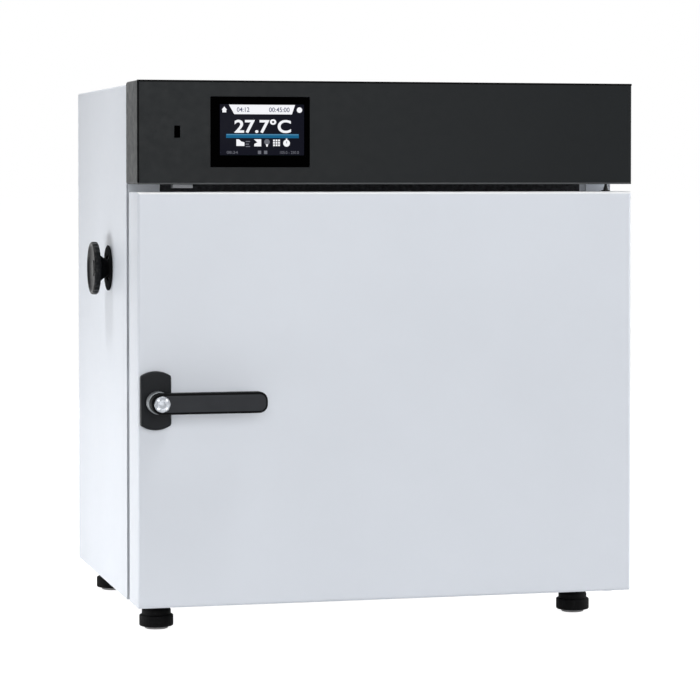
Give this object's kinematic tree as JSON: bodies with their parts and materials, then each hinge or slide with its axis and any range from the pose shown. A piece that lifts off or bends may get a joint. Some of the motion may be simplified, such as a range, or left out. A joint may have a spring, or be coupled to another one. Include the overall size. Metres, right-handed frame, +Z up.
{
  "type": "drying oven",
  "caption": "Bench-top laboratory drying oven with a hinged insulated door, lever handle, touch panel, wire shelves, circulating fan and adjustable side vent.",
  "frame": {"origin": "centre of the bounding box, on the floor under the feet", "axes": "+Z up, -Y out of the door, +X to the hinge side, which is the right as one faces the door"},
  "size_m": [0.602, 0.4946, 0.626],
  "materials": {
    "white_paint": "satin white powder coat",
    "anthracite_paint": "fine-textured anthracite powder coat",
    "black_plastic": "black moulded plastic",
    "handle_black": "satin black moulded handle",
    "display_glass": "gloss black touch display",
    "foot_rubber": "matt black rubber",
    "gasket_silicone": "grey silicone",
    "stainless_steel": "brushed stainless steel",
    "zinc_steel": "zinc-plated steel",
    "aluminium": "satin aluminium",
    "mineral_wool": "compressed mineral wool",
    "circuit_board": "green circuit board",
    "sensor_grey": "grey moulded sensor"
  },
  "bodies": {
    "cabinet": {"casing_wrap": "white_paint", "base_pan": "zinc_steel", "front_frame": "white_paint", "vent_grille": "black_plastic", "chamber_liner": "stainless_steel", "insulation_jacket": "mineral_wool", "rear_insulation": "mineral_wool", "rear_bulkhead": "zinc_steel", "bay_floor": "zinc_steel", "rear_cover": "white_paint", "air_baffle": "stainless_steel", "fan_motor": "zinc_steel", "heater_ring": "stainless_steel", "temperature_probe": "stainless_steel", "shelf_rail_left": "stainless_steel", "shelf_rail_right": "stainless_steel", "vent_tube": "stainless_steel", "vent_rosette": "black_plastic", "exhaust_tube": "stainless_steel", "control_panel": "anthracite_paint", "display_bezel": "display_glass", "display_screen": "display_glass", "display_board": "circuit_board", "usb_socket": "zinc_steel", "door_sensor": "sensor_grey", "control_board": "circuit_board", "power_supply": "aluminium", "relay_heatsink": "aluminium", "solid_state_relay": "black_plastic", "mains_inlet": "black_plastic", "switch_frame": "black_plastic", "hinge_bracket_top": "zinc_steel", "hinge_pin_top": "black_plastic", "hinge_bracket_bottom": "zinc_steel", "hinge_pin_bottom": "black_plastic", "latch_keeper": "zinc_steel", "foot_front_left": "foot_rubber", "foot_front_right": "foot_rubber", "foot_rear_left": "foot_rubber", "foot_rear_right": "foot_rubber"},
    "door": {"door_skin": "white_paint", "door_inner_panel": "stainless_steel", "door_insulation": "mineral_wool", "latch_case": "zinc_steel", "door_gasket": "gasket_silicone", "hinge_bush_top": "zinc_steel", "hinge_bush_bottom": "zinc_steel", "handle_rose": "handle_black"},
    "handle": {"lever_handle": "handle_black", "hub_ring": "aluminium", "handle_spindle": "zinc_steel", "latch_cam": "zinc_steel"},
    "key": {"key_cylinder": "aluminium"},
    "lower_shelf": {"shelf_lower": "stainless_steel"},
    "upper_shelf": {"shelf_upper": "stainless_steel"},
    "fan": {"fan_wheel": "aluminium"},
    "vent": {"vent_knob": "black_plastic", "vent_shutter": "zinc_steel"},
    "rocker": {"mains_rocker": "handle_black"}
  },
  "joints": [
    {"name": "door_hinge", "type": "hinge", "parent": "cabinet", "child": "door", "pos_m": [0.2816, -0.16275, 0.25], "axis": [0, 0, 1], "range_deg": [0, 110]},
    {"name": "lever_turn", "type": "hinge", "parent": "door", "child": "handle", "pos_m": [-0.2599, -0.2, 0.269], "axis": [0, 1, 0], "range_deg": [0, 90]},
    {"name": "key_turn", "type": "hinge", "parent": "handle", "child": "key", "pos_m": [-0.2599, -0.242, 0.269], "axis": [0, 1, 0], "range_deg": [0, 90]},
    {"name": "lower_shelf_slide", "type": "slide", "parent": "cabinet", "child": "lower_shelf", "axis": [0, -1, 0], "range_m": [0, 0.012]},
    {"name": "upper_shelf_slide", "type": "slide", "parent": "cabinet", "child": "upper_shelf", "axis": [0, -1, 0], "range_m": [0, 0.012]},
    {"name": "fan_spin", "type": "hinge", "parent": "cabinet", "child": "fan", "pos_m": [0.011, 0.145, 0.2695], "axis": [0, 1, 0], "continuous": true},
    {"name": "vent_turn", "type": "hinge", "parent": "cabinet", "child": "vent", "pos_m": [-0.29, -0.00375, 0.4111], "axis": [-1, 0, 0], "range_deg": [0, 90]},
    {"name": "rocker_tip", "type": "hinge", "parent": "cabinet", "child": "rocker", "pos_m": [0.171, 0.23495, 0.5625], "axis": [1, 0, 0], "range_deg": [0, 16]}
  ]
}
